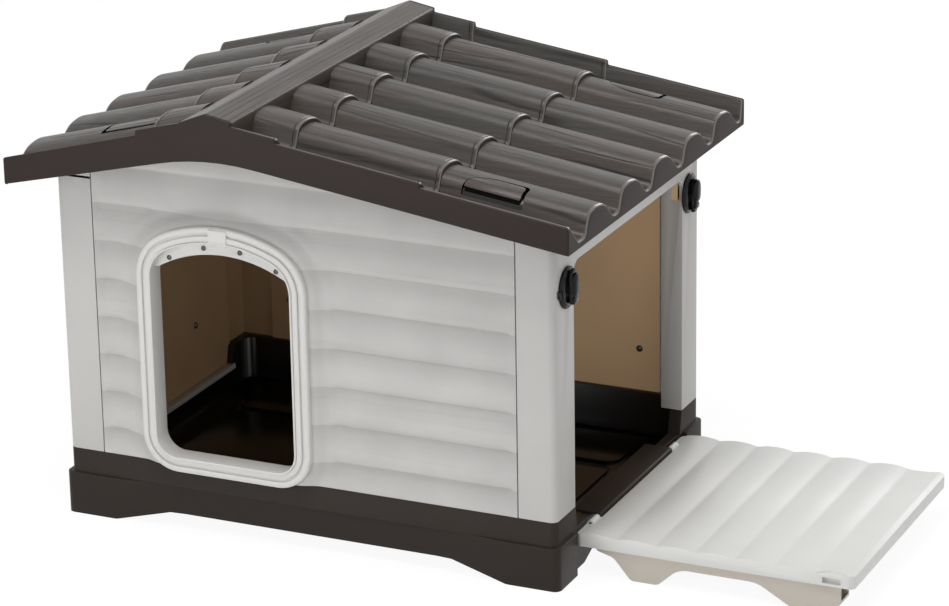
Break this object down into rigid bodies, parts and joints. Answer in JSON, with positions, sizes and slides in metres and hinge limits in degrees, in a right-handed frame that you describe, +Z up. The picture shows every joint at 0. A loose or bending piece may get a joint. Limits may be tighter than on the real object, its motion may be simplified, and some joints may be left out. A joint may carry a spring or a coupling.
{
  "type": "plastic dog house",
  "caption": "Gabled plastic dog house with a front doorway, a tiled lift-off roof and a waved porch that folds up to close the side opening.",
  "frame": {"origin": "on the ground under the middle of the object's box, with the porch open", "axes": "+X to the right as seen from the doorway side, towards the porch; +Y from the doorway to the back; +Z up"},
  "size_m": [1.041, 0.56, 0.5512],
  "materials": {
    "roof_plastic": "dark brown with moulded wood grain",
    "base_plastic": "dark brown, lightly textured",
    "wall_plastic": "pale grey siding, tan inside",
    "frame_plastic": "pale grey, smooth",
    "trim_plastic": "white, smooth",
    "porch_plastic": "off-white",
    "rail_plastic": "translucent beige",
    "knob_plastic": "black, glossy",
    "steel": "plated screws and pins"
  },
  "bodies": {
    "house": {"base_tray": "base_plastic", "threshold_lip": "base_plastic", "front_wall": "wall_plastic", "rear_wall": "wall_plastic", "left_side_frame": "frame_plastic", "left_side_panel": "wall_plastic", "right_side_frame": "frame_plastic", "wall_screws": "steel", "door_ring": "trim_plastic", "door_trim": "trim_plastic", "curtain_strip": "trim_plastic", "curtain_strip_screws": "steel", "door_clip": "trim_plastic", "hinge_pin_front": "steel", "hinge_pin_rear": "steel"},
    "porch": {"porch_panel": "porch_plastic", "porch_foot_rail_front": "rail_plastic", "porch_foot_rail_rear": "rail_plastic"},
    "knob_front": {"latch_knob_front": "knob_plastic", "latch_washer_front": "steel"},
    "knob_rear": {"latch_knob_rear": "knob_plastic", "latch_washer_rear": "steel"},
    "roof_shell": {"roof": "roof_plastic", "ridge_cap": "roof_plastic", "roof_screws": "steel"},
    "hatch_right_front": {"hatch_cover_right_front": "roof_plastic"},
    "hatch_right_rear": {"hatch_cover_right_rear": "roof_plastic"},
    "hatch_left_front": {"hatch_cover_left_front": "roof_plastic"},
    "hatch_left_rear": {"hatch_cover_left_rear": "roof_plastic"}
  },
  "joints": [
    {"name": "porch_hinge", "type": "hinge", "parent": "house", "child": "porch", "pos_m": [0.1785, 0, 0.0515], "axis": [0, -1, 0], "range_deg": [0, 90]},
    {"name": "knob_front_turn", "type": "hinge", "parent": "house", "child": "knob_front", "pos_m": [0.1735, -0.192, 0.366], "axis": [1, 0, 0], "range_deg": [0, 90]},
    {"name": "knob_rear_turn", "type": "hinge", "parent": "house", "child": "knob_rear", "pos_m": [0.1735, 0.192, 0.366], "axis": [1, 0, 0], "range_deg": [0, 90]},
    {"name": "roof_lift", "type": "slide", "parent": "house", "child": "roof_shell", "axis": [0, 0, 1], "range_m": [0, 0.15]},
    {"name": "hatch_right_front_lift", "type": "slide", "parent": "roof_shell", "child": "hatch_right_front", "axis": [0, 0, 1], "range_m": [0, 0.03]},
    {"name": "hatch_right_rear_lift", "type": "slide", "parent": "roof_shell", "child": "hatch_right_rear", "axis": [0, 0, 1], "range_m": [0, 0.03]},
    {"name": "hatch_left_front_lift", "type": "slide", "parent": "roof_shell", "child": "hatch_left_front", "axis": [0, 0, 1], "range_m": [0, 0.03]},
    {"name": "hatch_left_rear_lift", "type": "slide", "parent": "roof_shell", "child": "hatch_left_rear", "axis": [0, 0, 1], "range_m": [0, 0.03]}
  ]
}
